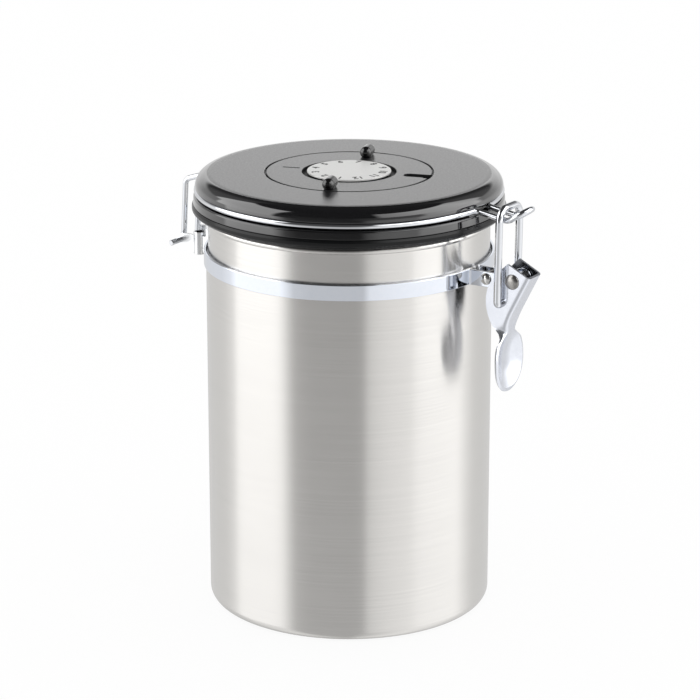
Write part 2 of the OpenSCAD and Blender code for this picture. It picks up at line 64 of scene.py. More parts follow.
def softened(corners, steps=6):
    # a corner is (across, up) or (across, up, radius), and a radius becomes an arc
    points = []
    for i, corner in enumerate(corners):
        here = Vector(corner[:2])
        if len(corner) < 3:
            points.append(here)
            continue
        back = (Vector(corners[i - 1][:2]) - here).normalized()
        on = (Vector(corners[(i + 1) % len(corners)][:2]) - here).normalized()
        half = back.angle(on) / 2
        centre = here + (back + on).normalized() * corner[2] / math.sin(half)
        first = here + back * corner[2] / math.tan(half) - centre
        last = here + on * corner[2] / math.tan(half) - centre
        sweep = math.atan2(first.x * last.y - first.y * last.x, first.dot(last))
        for k in range(steps + 1):
            points.append(centre + Matrix.Rotation(sweep * k / steps, 2) @ first)
    return points


def layOutline(name, points, place, closed=True, fill="NOTHING"):
    # a circle with one vertex for each point of the outline, laid on the outline
    startClean()
    bpy.ops.mesh.primitive_circle_add(vertices=len(points), radius=mm, fill_type=fill)
    piece = bpy.context.object
    piece.name = piece.data.name = name
    for vertex, point in zip(piece.data.vertices, points):
        vertex.co = place(point) * mm
    edit(piece)
    if not closed:                                         # the edge that closes it goes
        bpy.ops.mesh.select_mode(type="EDGE")
        bpy.ops.mesh.select_all(action="DESELECT")
        bpy.ops.object.mode_set(mode="OBJECT")
        piece.data.edges[len(points) - 1].select = True
        bpy.ops.object.mode_set(mode="EDIT")
        bpy.ops.mesh.delete(type="EDGE_FACE")
        bpy.ops.mesh.select_mode(type="VERT")
        bpy.ops.mesh.select_all(action="SELECT")
    return piece


def tidy(piece, sharpAbove=35, weld=0.002):
    # doubles are merged before the normals are turned outwards
    edit(piece)
    bpy.ops.mesh.remove_doubles(threshold=weld * mm)
    bpy.ops.mesh.normals_make_consistent(inside=False)
    bpy.ops.object.mode_set(mode="OBJECT")
    bpy.ops.object.shade_smooth_by_angle(angle=math.radians(sharpAbove))
    return piece


def move(step):
    if step.length > 0.001:                                # bends may meet with no run between them
        bpy.ops.mesh.extrude_region_move(TRANSFORM_OT_translate={"value": step * mm})


def swing(centre, axis, angle, steps):
    bpy.ops.mesh.spin(steps=steps, angle=-angle, center=Vector(centre) * mm, axis=axis)


def turned(name, corners, closed=True, segments=192, at=(0, 0, 0), axis=(0, 0, 1), out=(1, 0, 0),
           steps=6):
    # lathe work: corners are (radius, height along the axis)
    at, axis, out = Vector(at), Vector(axis), Vector(out)
    piece = layOutline(name, softened(corners, steps),
                       lambda p: at + out * p.x + axis * p.y, closed)
    swing(at, axis, math.tau, segments)
    return tidy(piece)


def bendAlong(path, radii, steps=9):
    # carries the selected ring along straight runs joined by bends
    path = [Vector(p) for p in path]
    here = path[0]
    for before, corner, after, radius in zip(path, path[1:], path[2:], radii):
        going, leaving = (corner - before).normalized(), (after - corner).normalized()
        angle, axis = going.angle(leaving), going.cross(leaving).normalized()
        reach = going * radius * math.tan(angle / 2)
        move(corner - reach - here)
        swing(corner - reach + axis.cross(going) * radius, axis, angle, steps)
        here = corner + leaving * radius * math.tan(angle / 2)
    move(path[-1] - here)


def sectionAcross(name, points, at, going, side):
    # lays a section square to the way that it will go
    at, going, side = Vector(at), Vector(going).normalized(), Vector(side).normalized()
    rise = going.cross(side)
    return layOutline(name, points, lambda p: at + side * p.x + rise * p.y)


def roundSection(diameter, sides=24):
    return [Vector((math.cos(a), math.sin(a))) * diameter / 2
            for a in (math.tau * k / sides for k in range(sides))]


def closeEnd(at, along, length, taper=0.8):
    # a cut wire end with its burr taken off over the last of its length
    at, along = Vector(at), Vector(along).normalized()
    move(along * length)
    bpy.ops.transform.resize(value=(taper,) * 3, center_override=(at + along * length) * mm)
    bpy.ops.mesh.edge_face_add()


def modify(piece, kind, **settings):
    startClean()
    bpy.context.view_layer.objects.active = piece
    piece.select_set(True)
    added = piece.modifiers.new(kind.title(), kind)
    for name, value in settings.items():
        setattr(added, name, value)
    bpy.ops.object.modifier_apply(modifier=added.name)
    return piece


def mirrored(piece):
    # the other side in Y
    modify(piece, "MIRROR", use_axis=(False, True, False), merge_threshold=mirrorWeld)
    return tidy(piece)


def slab(name, corners, place, along, thickness, steps=6):
    # a flat outline given its thickness
    piece = layOutline(name, softened(corners, steps), place, fill="NGON")
    bpy.ops.mesh.extrude_region_move(
        TRANSFORM_OT_translate={"value": Vector(along) * thickness * mm})
    return tidy(piece)


def cutWith(piece, tools, how="DIFFERENCE"):
    for tool in tools:
        modify(piece, "BOOLEAN", object=tool, operation=how, solver="EXACT")
        bpy.data.objects.remove(tool)


def joined(name, pieces):
    startClean()
    for piece in pieces:
        piece.select_set(True)
    bpy.context.view_layer.objects.active = pieces[0]
    if len(pieces) > 1:
        bpy.ops.object.join()
    pieces[0].name = pieces[0].data.name = name
    return pieces[0]


def level(face):
    # faces that look straight up, without the rounded edges beside them
    return face.normal.z > 0.998


def finishPiece(piece, material, body, slot, *nodes, other=None, where=level):
    piece.data.materials.clear()
    piece.data.materials.append(material)
    if other:                                              # for some faces, such as a flat top
        piece.data.materials.append(other)
        for face in piece.data.polygons:
            face.material_index = int(where(face))
    modify(piece, "WEIGHTED_NORMAL", keep_sharp=True)      # flats stay flat beside rounded edges
    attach(piece, body)
    if nodes:
        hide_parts(*nodes)


# Materials

noiseLow, noiseHigh = 0.3, 0.7                             # the noise hardly ever leaves these


def linear(code):
    # an sRGB hex colour in the linear values that Blender uses
    parts = [int(code[i:i + 2], 16) / 255 for i in (1, 3, 5)]
    return (*(c / 12.92 if c <= 0.04045 else ((c + 0.055) / 1.055) ** 2.4 for c in parts), 1)


def addNode(tree, kind, settings=None, links=None):
    made = tree.nodes.new(kind)
    for name, value in (settings or {}).items():
        if isinstance(name, int) or name in made.inputs:
            made.inputs[name].default_value = value
        else:
            setattr(made, name, value)
    for name, source in (links or {}).items():
        tree.links.new(source, made.inputs[name])
    return made


def startMaterial(name, settings):
    material = bpy.data.materials.new(name)
    material.use_nodes = True
    tree = material.node_tree
    shader = tree.nodes["Principled BSDF"]
    for socket, value in settings.items():
        shader.inputs[socket].default_value = value
    place = addNode(tree, "ShaderNodeTexCoord").outputs["Object"]
    return material, tree, shader, place


def feed(tree, shader, sources):
    for socket, source in sources.items():
        tree.links.new(source, shader.inputs[socket])


def grain(tree, place, size, stretch=(1, 1, 1), detail=3):
    # noise whose grain is about size millimetres, made longer by stretch
    scaled = addNode(tree, "ShaderNodeMapping",
                     {"Scale": tuple(1 / (size * mm * s) for s in stretch)}, {"Vector": place})
    noise = addNode(tree, "ShaderNodeTexNoise", {"Scale": 1, "Detail": detail, "Roughness": 0.6},
                    {"Vector": scaled.outputs[0]})
    return noise.outputs[0]


def tinted(tree, value, dark, light):
    # from the dark colour to the light one as the noise rises
    share = addNode(tree, "ShaderNodeMapRange", {1: noiseLow, 2: noiseHigh}, {0: value})
    mixer = addNode(tree, "ShaderNodeMix",
                    {"data_type": "RGBA", 6: linear(dark), 7: linear(light)}, {0: share.outputs[0]})
    return mixer.outputs[2]


def brushedSteel():
    # 304 stainless sheet, spun against an abrasive belt: fine lines run round the
    # body, so what it mirrors is drawn out up and down and stays crisp sideways
    material, tree, shader, place = startMaterial("brushed_stainless_steel", {
        "Metallic": 1, "Roughness": 0.22, "Anisotropic": 0.85, "Anisotropic Rotation": 0.25})
    # real belt lines are finer; they are drawn 0.35 mm apart to show
    lines = grain(tree, place, 0.35, (200, 200, 1), 2)
    cloud = grain(tree, place, 26, (1, 1, 0.5), 2)         # slow change from the belt's pressure
    tangent = addNode(tree, "ShaderNodeTangent", {"direction_type": "RADIAL", "axis": "Z"})
    dulled = addNode(tree, "ShaderNodeMapRange",
                     {1: noiseLow, 2: noiseHigh, 3: 0.215, 4: 0.235}, {0: cloud})
    relief = addNode(tree, "ShaderNodeBump", {"Distance": 0.00005 * mm}, {"Height": lines})
    feed(tree, shader, {"Tangent": tangent.outputs[0], "Roughness": dulled.outputs[0],
                        "Base Color": tinted(tree, lines, "#D9D7D4", "#DEDCD9"),
                        "Normal": relief.outputs[0]})
    return material


def platedSteel(name, dark, light, roughness, wave, metallic=1):
    # mild steel pressed or drawn, then nickel and chromium plated: a bright mirror
    # with a cold tint, gently wavy where the metal was worked
    material, tree, shader, place = startMaterial(name, {
        "Metallic": metallic, "Roughness": roughness})
    ripple = grain(tree, place, wave, detail=1)
    haze = grain(tree, place, 1.8)                         # where the polish is a little duller
    dulled = addNode(tree, "ShaderNodeMapRange", {
        1: noiseLow, 2: noiseHigh, 3: roughness * 0.9, 4: roughness * 1.15}, {0: haze})
    relief = addNode(tree, "ShaderNodeBump", {"Distance": 0.02 * mm}, {"Height": ripple})
    feed(tree, shader, {"Base Color": tinted(tree, haze, dark, light),
                        "Roughness": dulled.outputs[0], "Normal": relief.outputs[0]})
    return material


def rivetSteel(name, dark, light, roughness):
    # zinc or nickel plated steel, headed in a press: duller than the chrome
    material, tree, shader, place = startMaterial(name, {"Metallic": 1, "Roughness": roughness})
    mottle = grain(tree, place, 0.5)
    relief = addNode(tree, "ShaderNodeBump", {"Distance": 0.004 * mm}, {"Height": mottle})
    feed(tree, shader, {"Base Color": tinted(tree, mottle, dark, light),
                        "Normal": relief.outputs[0]})
    return material


def glossyPlastic(name, dark, light, coat, gloss=0.03, rough=0.06, coatIor=1.5):
    # ABS moulded against a polished tool: near black, with a hard clear gloss and
    # the faintest ripple from the moulding
    material, tree, shader, place = startMaterial(name, {
        "Roughness": rough, "IOR": 1.54, "Coat Weight": coat, "Coat Roughness": gloss,
        "Coat IOR": coatIor})
    ripple = grain(tree, place, 14, detail=1)
    dust = grain(tree, place, 0.9, detail=4)
    dulled = addNode(tree, "ShaderNodeMapRange",
                     {1: noiseLow, 2: noiseHigh, 3: rough * 0.85, 4: rough * 1.3}, {0: dust})
    relief = addNode(tree, "ShaderNodeBump", {"Distance": 0.02 * mm}, {"Height": ripple})
    feed(tree, shader, {"Base Color": tinted(tree, dust, dark, light),
                        "Roughness": dulled.outputs[0], "Normal": relief.outputs[0]})
    return material


def mattMoulding(name, dark, light, roughness, size, depth, ior=1.48):
    # plastic or silicone moulded against a spark-eroded tool: a fine even grain that
    # takes the gloss off
    material, tree, shader, place = startMaterial(name, {"Roughness": roughness, "IOR": ior})
    pores = grain(tree, place, size)
    relief = addNode(tree, "ShaderNodeBump", {"Distance": depth * mm}, {"Height": pores})
    feed(tree, shader, {"Base Color": tinted(tree, pores, dark, light),
                        "Normal": relief.outputs[0]})
    return material


def satinSilver():
    # aluminium, turned on a lathe and coated with a pale silver lacquer: fine rings
    # round its centre, and more of a soft white than a mirror
    material, tree, shader, place = startMaterial("satin_aluminium_dial", {
        "Metallic": 0.25, "Roughness": 0.42, "Coat Weight": 0.2, "Coat Roughness": 0.25})
    flat = addNode(tree, "ShaderNodeVectorMath",
                   {"operation": "MULTIPLY", 1: (1, 1, 0)}, {0: place})
    radius = addNode(tree, "ShaderNodeVectorMath", {"operation": "LENGTH"}, {0: flat.outputs[0]})
    rings = addNode(tree, "ShaderNodeTexNoise",            # 0.3 mm from ring to ring
                    {"noise_dimensions": "1D", "Scale": 1 / (0.3 * mm), "Detail": 1},
                    {"W": radius.outputs["Value"]}).outputs[0]
    relief = addNode(tree, "ShaderNodeBump", {"Distance": 0.002 * mm}, {"Height": rings})
    feed(tree, shader, {"Base Color": tinted(tree, rings, "#E6E6E4", "#EDEDEB"),
                        "Normal": relief.outputs[0]})
    return material


def pressedWadding():
    # polyester wadding for the vent: soft, fibrous and off-white
    material, tree, shader, place = startMaterial("pressed_wadding",
                                                  {"Roughness": 0.95, "Sheen Weight": 0.3})
    fibres = grain(tree, place, 0.4, (6, 1, 1), 5)
    relief = addNode(tree, "ShaderNodeBump", {"Distance": 0.15 * mm}, {"Height": fibres})
    feed(tree, shader, {"Base Color": tinted(tree, fibres, "#D8D2C2", "#EFEBDF"),
                        "Normal": relief.outputs[0]})
    return material


def printedInk():
    # screen-printed numerals: dark grey, slightly uneven on the satin face
    material, tree, shader, place = startMaterial("printed_ink", {"Roughness": 0.5})
    feed(tree, shader, {"Base Color": tinted(tree, grain(tree, place, 0.25), "#17171A", "#26262A")})
    return material


brushed = brushedSteel()
bandChrome = platedSteel("chrome_plated_band", "#E6EBF4", "#E9EDF5", 0.06, 12)
bracketChrome = platedSteel("chrome_plated_bracket", "#E8E9EA", "#ECEDEE", 0.3, 30)
# painted shade: a dark, duller copy of the chrome for the faces inside folds and loops, where shade
# falls
chromeWithPaintedShade = platedSteel("chrome_painted_shade_in_folds", "#55575B", "#64666A", 0.2, 4)
wireChrome = platedSteel("chrome_plated_wire", "#E0E2E6", "#E4E6EA", 0.035, 6)
leverChrome = platedSteel("chrome_plated_lever", "#DEE1E9", "#E2E5EC", 0.14, 7, 0.9)
zinc = rivetSteel("zinc_plated_rivet", "#9A9896", "#AEACA9", 0.22)
nickel = rivetSteel("nickel_plated_rivet", "#D6D5D3", "#E0DFDD", 0.12)
lidGloss = glossyPlastic("glossy_black_abs", "#0B0B0D", "#0F0F11", 1)
# the flat tops of lid and disc come from a duller part of the tool
topSatin = glossyPlastic("satin_black_abs", "#0F0F11", "#131315", 1, 0.25, 0.3, 1.75)
lipGloss = glossyPlastic("black_abs_lip", "#050506", "#08080A", 0.9, 0.04, 0.08)
pegGloss = glossyPlastic("glossy_black_peg", "#070708", "#0A0A0B", 0.6)
gasketRubber = mattMoulding("black_silicone_rubber", "#0A0B0C", "#0E0F10", 0.24, 0.6, 0.004, 1.35)
plugPlastic = mattMoulding("moulded_black_polypropylene", "#131415", "#1B1C1D", 0.45, 0.35, 0.02)
flapRubber = mattMoulding("translucent_grey_silicone", "#B4B4AE", "#C2C2BC", 0.4, 0.5, 0.01)
dialSilver = satinSilver()
wadding = pressedWadding()
ink = printedInk()
print("materials made")


# Steel body

body = {"radius": 58.5, "neck": 57.6, "rim": 165, "sheet": 0.8, "foot": 4,
        "shoulder": (148.2, 149.9), "shoulderInside": 0.1, "shoulderRound": 0.9,
        "curlOut": 59.2, "curlDeep": 2.55, "curlRound": 1.28, "curlUnder": 1.15,
        # the rib pressed under the floor: its two radii and its height
        "rib": (43.5, 49.5, 1), "ribSlope": 0.9, "ribRound": 0.7,
        "ribWiderInside": 0.7, "ribSlopeInside": 0.6, "ribRoundInside": 0.6}
inRadius, neckIn = body["radius"] - body["sheet"], body["neck"] - body["sheet"]
ribIn, ribOut, ribUp = body["rib"]
shoulderLow, shoulderHigh = body["shoulder"]
bodySheet, curlLow = body["sheet"], body["rim"] - body["curlDeep"]
steelBody = turned("steel_body", [
    (0, 0),
    (ribIn, 0, body["ribRound"]),
    (ribIn + body["ribSlope"], ribUp, body["ribRound"]),
    (ribOut - body["ribSlope"], ribUp, body["ribRound"]),
    (ribOut, 0, body["ribRound"]),
    (body["radius"], 0, body["foot"]),
    (body["radius"], shoulderLow, body["shoulderRound"]),
    (body["neck"], shoulderHigh, body["shoulderRound"]),
    (body["neck"], curlLow),
    (body["curlOut"], curlLow, body["curlUnder"]),
    (body["curlOut"], body["rim"], body["curlRound"]),
    (neckIn, body["rim"], body["curlRound"]),
    (neckIn, shoulderHigh + body["shoulderInside"], body["shoulderRound"]),
    (inRadius, shoulderLow, body["shoulderRound"]),
    (inRadius, bodySheet, body["foot"] - bodySheet),
    (ribOut + body["ribWiderInside"], bodySheet, body["ribRoundInside"]),
    (ribOut - body["ribSlopeInside"], ribUp + bodySheet, body["ribRoundInside"]),
    (ribIn + body["ribSlopeInside"], ribUp + bodySheet, body["ribRoundInside"]),
    (ribIn - body["ribWiderInside"], bodySheet, body["ribRoundInside"]),
    (0, bodySheet)], closed=False, steps=8)
finishPiece(steelBody, brushed, "canister", "body_steel", "canister_shell")


# Clamp band, turned out at the front as two ears

band = {"sheet": 0.9, "edge": 0.28, "radius": 58.97, "low": 144, "high": 150.35,
        "earY": 3.55, "bend": 1.45, "endX": 79.3, "endZ": 148.3, "endRadius": 3.9}
midZ, tall = (band["low"] + band["high"]) / 2, band["high"] - band["low"]
halfSheet = band["sheet"] / 2
strip = softened([(-halfSheet, -tall / 2, band["edge"]), (halfSheet, -tall / 2, band["edge"]),
                  (halfSheet, tall / 2, band["edge"]), (-halfSheet, tall / 2, band["edge"])], 4)
clampBand = sectionAcross("clamp_strip", strip, (band["endX"], band["earY"], midZ),
                          (-1, 0, 0), (0, 1, 0))
bendY = band["earY"] + band["bend"]
bendX = math.sqrt((band["radius"] + band["bend"]) ** 2 - bendY ** 2)
leans = math.atan2(bendY, bendX)
move(Vector((bendX - band["endX"], 0, 0)))
swing((bendX, bendY, midZ), (0, 0, -1), math.pi / 2 - leans, 10)
swing((0, 0, midZ), (0, 0, 1), math.pi - leans, 120)
tidy(clampBand)
earEnd = turned("ear_end", [
    (0, -halfSheet), (band["endRadius"], -halfSheet, band["edge"]),
    (band["endRadius"], halfSheet, band["edge"]), (0, halfSheet)],
    False, 48, (band["endX"], band["earY"], band["endZ"]), (0, 1, 0))
clampBand = mirrored(joined("clamp_strip", [clampBand, earEnd]))
finishPiece(clampBand, bandChrome, "canister", "band_chrome", "clamp_band")


# Hinge bracket: a bent plate behind, its sides cut to shape, with a rolled loop on each

bracket = {"sheet": 1, "webX": -59.95, "earY": 7.5, "endX": -82.35, "low": 137.4, "high": 149.8,
           "bend": 1.3, "edge": 0.3, "edgeAbove": 50,
           # the outline of a side, seen along Y: (x, z) or (x, z, radius)
           "side": [(-50, 137.4), (-50, 149.8), (-66, 149.8, 0.7), (-66, 146.6, 0.4),
                    (-82.22, 146.6, 3.5), (-82.22, 139.5, 3.5), (-66, 139.5, 0.4), (-66, 137.4, 1)]}
loop = {"at": (-69.95, 6.75), "radius": 2.6, "sheet": 0.8, "low": 138.6, "high": 148.2,
        "edgeLow": 0.2, "edgeHigh": 0.25, "slot": (-67.95, -66.7), "slotTop": 147}
tall = bracket["high"] - bracket["low"]
half = bracket["sheet"] / 2
strip = softened([(-half, -tall / 2), (half, -tall / 2), (half, tall / 2), (-half, tall / 2)])
bracketMid = (bracket["low"] + bracket["high"]) / 2
startX = bracket["endX"] - 3                               # past the outline that cuts the sides
hingeBracket = sectionAcross("hinge_plate", strip, (startX, bracket["earY"], bracketMid),
                             (1, 0, 0), (0, 1, 0))
bendAlong([(startX, bracket["earY"], bracketMid), (bracket["webX"], bracket["earY"], bracketMid),
           (bracket["webX"], 0, bracketMid)], [bracket["bend"]])
hingeBracket = mirrored(hingeBracket)
edit(hingeBracket)
bpy.ops.mesh.fill_holes(sides=0)
side = slab("bracket_side", bracket["side"], lambda p: Vector((p.x, -12, p.y)), (0, 1, 0), 24)
cutWith(hingeBracket, [side], "INTERSECT")
loopIn = loop["radius"] - loop["sheet"]
rolledLoop = turned("hinge_loop", [
    (loopIn, loop["low"], loop["edgeLow"]), (loop["radius"], loop["low"], loop["edgeLow"]),
    (loop["radius"], loop["high"], loop["edgeHigh"]), (loopIn, loop["high"], loop["edgeHigh"])],
    True, 48, (*loop["at"], 0))
slotFrom, slotTo = loop["slot"]                            # cut through the outer side only
cutWith(rolledLoop, [slab("loop_gap", [
    (slotFrom, 130), (slotFrom, loop["slotTop"]), (slotTo, loop["slotTop"]), (slotTo, 130)],
    lambda p: Vector((p.x, 7, p.y)), (0, 1, 0), 4)])
hingeBracket = joined("hinge_plate", [hingeBracket, mirrored(rolledLoop)])


def insideLoop(face):
    # the inner wall of a loop, which looks at the loop's axis and takes the painted shade
    loopX, loopY = loop["at"]
    out = Vector((face.center.x / mm - loopX, abs(face.center.y / mm) - loopY))
    inward = -out.x * face.normal.x - math.copysign(out.y, out.y * face.center.y) * face.normal.y
    return loop["radius"] - 1 < out.length < loop["radius"] - 0.6 and inward > 0.5


modify(hingeBracket, "BEVEL", width=bracket["edge"] * mm, segments=3, limit_method="ANGLE",
       angle_limit=math.radians(bracket["edgeAbove"]))
tidy(hingeBracket)
# the loops' inner walls are painted in shade with the dark chrome
finishPiece(hingeBracket, bracketChrome, "canister", "band_chrome", "hinge_bracket",
            other=chromeWithPaintedShade, where=insideLoop)


# Rivet heads, each with the shank that runs in to it from the middle

rivets = [{"node": "ear_rivet", "name": "ear_rivet_head", "at": (66.8, 147.4),
           "inner": 4.02, "radius": 2.4, "rise": 1.1, "plate": nickel},
          {"node": "lever_rivet", "name": "lever_rivet_head", "at": (79.3, 148.3),
           "inner": 5.4, "radius": 3.1, "rise": 1.0, "plate": zinc}]
shankRadius, shankLong, domeSteps = 1.5, 8, 12
for rivet in rivets:
    x, z = rivet["at"]
    shankFrom = rivet["inner"] - shankLong                 # past the middle: the mirror cuts it
    dome = [(rivet["radius"] * math.cos(a), rivet["inner"] + rivet["rise"] * math.sin(a))
            for a in (math.pi / (2 * domeSteps) * k for k in range(domeSteps + 1))]
    shank = [(0, shankFrom), (shankRadius, shankFrom), (shankRadius, rivet["inner"])]
    head = turned(rivet["name"], shank + dome, False, 64, (x, 0, z), (0, 1, 0))
    modify(head, "MIRROR", use_axis=(False, True, False), use_bisect_axis=(False, True, False),
           merge_threshold=mirrorWeld)
    tidy(head)
    finishPiece(head, rivet["plate"], "canister", "rivet_steel", rivet["node"])
print("body, band, bracket and rivets made")


# Lid

cap = {"radius": 62.7, "top": 181.8, "topFall": 0.35, "edge": 5.2, "flat": 56.2, "flatRound": 5,
       "low": 176.1, "wall": 60.4, "skirtLow": 171.62, "skirtIn": 58.4, "ceiling": 179.8,
       "ceilingRound": 3.5, "pocket": 34.5, "floor": 179.2, "wellOut": 36.3, "wellLow": 177.2}
capShell = turned("lid_shell", [
    (0, cap["floor"]), (cap["pocket"], cap["floor"], 0.2), (cap["pocket"], cap["top"], 0.25),
    (cap["flat"], cap["top"], cap["flatRound"]),
    (cap["radius"], cap["top"] - cap["topFall"], cap["edge"]), (cap["radius"], cap["low"], 0.08),
    (cap["wall"], cap["low"], 0.1), (cap["wall"], cap["skirtLow"]), (cap["skirtIn"], cap["skirtLow"]),
    (cap["skirtIn"], cap["ceiling"], cap["ceilingRound"]), (cap["wellOut"], cap["ceiling"]),
    (cap["wellOut"], cap["wellLow"]), (0, cap["wellLow"])], closed=False, steps=10)
finishPiece(capShell, lidGloss, "lid", "lid_gloss", "lid_cap", other=topSatin)

base = {"radius": 63.5, "draft": 0.24, "low": 169.6, "lip": 173.1, "lipRound": 0.85,
        "inside": 60.7, "seat": 171.6,
        # notches where the bail's legs leave
        "notchY": (-5, 5), "notchHalf": 1.5, "notchFrom": -66, "notchTo": -60.2,
        "notchFloor": 171.9}
baseRing = turned("lid_lip", [
    (0, base["low"]), (base["radius"], base["low"], 0.3),
    (base["radius"] - base["draft"], base["lip"], base["lipRound"]),
    (base["inside"], base["lip"], 0.2), (base["inside"], base["seat"]),
    (0, base["seat"])], closed=False, steps=8)
notches = [slab("notch", [
    (base["notchFrom"], y - base["notchHalf"]), (base["notchTo"], y - base["notchHalf"], 0.4),
    (base["notchTo"], y + base["notchHalf"], 0.4), (base["notchFrom"], y + base["notchHalf"])],
    lambda p: Vector((p.x, p.y, base["notchFloor"])), (0, 0, 1), 5) for y in base["notchY"]]
cutWith(baseRing, notches)
tidy(baseRing)
finishPiece(baseRing, lipGloss, "lid", "lid_gloss", "lid_base")

gasket = {"inside": 53.3, "radius": 63.99, "low": 165.2, "step": 60.8,
          "edgeLow": 167.2, "edgeHigh": 168.5, "top": 169.5}
gasketRing = turned("gasket_ring", [
    (gasket["inside"], gasket["low"], 0.3), (gasket["step"], gasket["low"], 0.4),
    (61.4, 165.8, 0.3), (62.6, 165.9, 0.5), (gasket["radius"], gasket["edgeLow"], 0.8),
    (gasket["radius"], gasket["edgeHigh"], 0.3), (63.5, gasket["top"], 0.3),
    (gasket["inside"], gasket["top"])], steps=5)
finishPiece(gasketRing, gasketRubber, "lid", "gasket_silicone", "lid_gasket")
print("lid made")


# Month dial: a disc that turns, its two pegs, and the hub and plate that stay with the lid

disc = {"radius": 33.75, "low": 179.4, "top": 181.8, "bore": 19.15, "ledge": 180.2,
        "ledgeBore": 16.57, "pointerTurn": 17, "notchDeep": 2.3, "markDeep": 0.7,
        # outlines of the pointer notch and the mark opposite: (along, across), some with a radius
        "notch": [(22.9, -2.6, 2.2), (31.2, -2.6, 0.5), (32, -3.6, 0.5), (36, -3.9),
                  (36, 2.5), (22.9, 2.5, 2.2)],
        "mark": [(-28.2, -0.55, 0.4), (-20.7, -0.55, 0.4), (-20.7, 0.55, 0.4), (-28.2, 0.55, 0.4)]}
facing = math.radians(disc["pointerTurn"])


def onDisc(p, z):
    # p is (along, across) the pointer's direction
    return Vector((p.x * math.cos(facing) - p.y * math.sin(facing),
                   p.x * math.sin(facing) + p.y * math.cos(facing), z))


turningDisc = turned("turning_disc", [
    (disc["radius"], disc["low"], 0.2), (disc["radius"], disc["top"], 0.25),
    (disc["bore"], disc["top"], 0.2), (disc["bore"], disc["ledge"]),
    (disc["ledgeBore"], disc["ledge"]), (disc["ledgeBore"], disc["low"])], steps=5)
marks = [slab("mark", disc[outline], lambda p: onDisc(p, disc["top"] - disc[deep]), (0, 0, 1), 3)
         for outline, deep in (("notch", "notchDeep"), ("mark", "markDeep"))]
cutWith(turningDisc, marks)
tidy(turningDisc)
finishPiece(turningDisc, plugPlastic, "month_disc", "lid_gloss", "date_disc", other=topSatin)

peg = {"at": 28.5, "radius": 2.5, "half": 4.8, "sink": 0.6, "endRound": 0.97,
       # the foot that holds a peg in the disc
       "root": [(0, 179.6), (1.5, 179.6), (1.5, 181.6, 0.1), (2.1, 181.82, 0.1), (1.3, 182.6),
                (0, 182.6)]}
pegs = []
for sign in (-1, 1):
    at = onDisc(Vector((0, sign * peg["at"])), disc["top"] + peg["radius"] - peg["sink"])
    along, across = onDisc(Vector((0, 1)), 0), Vector((0, 0, 1))
    r, h, end = peg["radius"], peg["half"], peg["radius"] * peg["endRound"]
    pegs.append(turned("peg", [(0, -h), (r, -h, end), (r, h, end), (0, h)], False, 48,
                       at, along, across, 12))
    pegs.append(turned("root", peg["root"], False, 32, (at.x, at.y, 0)))
finishPiece(joined("dial_pegs", pegs), pegGloss, "month_disc", "lid_gloss", "disc_pegs")

hub = {"low": 179.22, "foot": 16.5, "flangeLow": 180.3, "flange": 18.6, "moatFloor": 180.6,
       "seat": 16.8, "top": 181.58}
dialSeat = turned("dial_seat", [
    (0, hub["low"]), (hub["foot"], hub["low"]), (hub["foot"], hub["flangeLow"]),
    (hub["flange"], hub["flangeLow"], 0.1), (hub["flange"], hub["moatFloor"], 0.1),
    (hub["seat"], hub["moatFloor"], 0.1), (hub["seat"], hub["top"]), (0, hub["top"])],
    closed=False, segments=128)
finishPiece(dialSeat, plugPlastic, "lid", "lid_gloss", "dial_hub")

dial = {"radius": 17.1, "low": 181.6, "top": 182.4, "edge": 0.35,
        "digit": 3.1, "digitAt": 14, "digitThick": 0.03, "digitLift": 0.02, "digitBold": 0.07,
        # a digit's share of its font size, and the bearing of the gap between 12 and 1
        "digitShare": 0.7, "firstGap": -57.6}
dialPlate = turned("dial_plate", [
    (0, dial["low"]), (dial["radius"], dial["low"], 0.1),
    (dial["radius"], dial["top"], dial["edge"]), (0, dial["top"])], closed=False, segments=128)
finishPiece(dialPlate, dialSilver, "lid", "dial_silver", "dial_face")

digits = []
for month in range(1, 13):
    startClean()
    bpy.ops.object.text_add()
    text = bpy.context.object
    text.data.body = str(month)
    text.data.size = dial["digit"] * mm / dial["digitShare"]
    text.data.align_x, text.data.align_y = "CENTER", "CENTER"
    text.data.extrude = dial["digitThick"] * mm
    text.data.offset = dial["digitBold"] * mm
    bpy.ops.object.convert(target="MESH")
    bearing = math.radians(dial["firstGap"] - 30 * (month - 0.5))
    spot = Vector((math.cos(bearing) * dial["digitAt"] * mm,
                   math.sin(bearing) * dial["digitAt"] * mm,
                   (dial["top"] + dial["digitLift"]) * mm))
    text.data.transform(Matrix.Translation(spot) @ Matrix.Rotation(bearing - math.pi / 2, 4, "Z"))
    digits.append(text)
numbers = joined("dial_numbers", digits)
finishPiece(numbers, ink, "lid", "dial_silver")
print("month dial made")


# Bail: one wire from the hairpin catch, round the lid and down to the hinge pins

bail = {"wire": 2.4, "ring": 61.9, "ringZ": 174.8, "leave": 3.6, "burr": 0.3,
        "catchY": 4.5, "catchZ": 172.5, "bendX": 76.7, "tipX": 83.9, "rise": 33,
        "hingeX": -79.5, "hingeZ": 143.4, "legY": 5, "legOut": 1.6, "legDown": 5.4, "pinEnd": 14.3,
        "frontBends": (4.1, 4, 2.6), "backBends": (2.6, 3, 1.6)}


def leaves(y):
    # where the ring is left on its tangent, and where that tangent comes to y
    angle = math.asin((y + bail["leave"]) / bail["ring"])
    return angle, (bail["ring"] - y * math.sin(angle)) / math.cos(angle)


def onRing(angle):
    return bail["ring"] * math.cos(angle), bail["ring"] * math.sin(angle), bail["ringZ"]


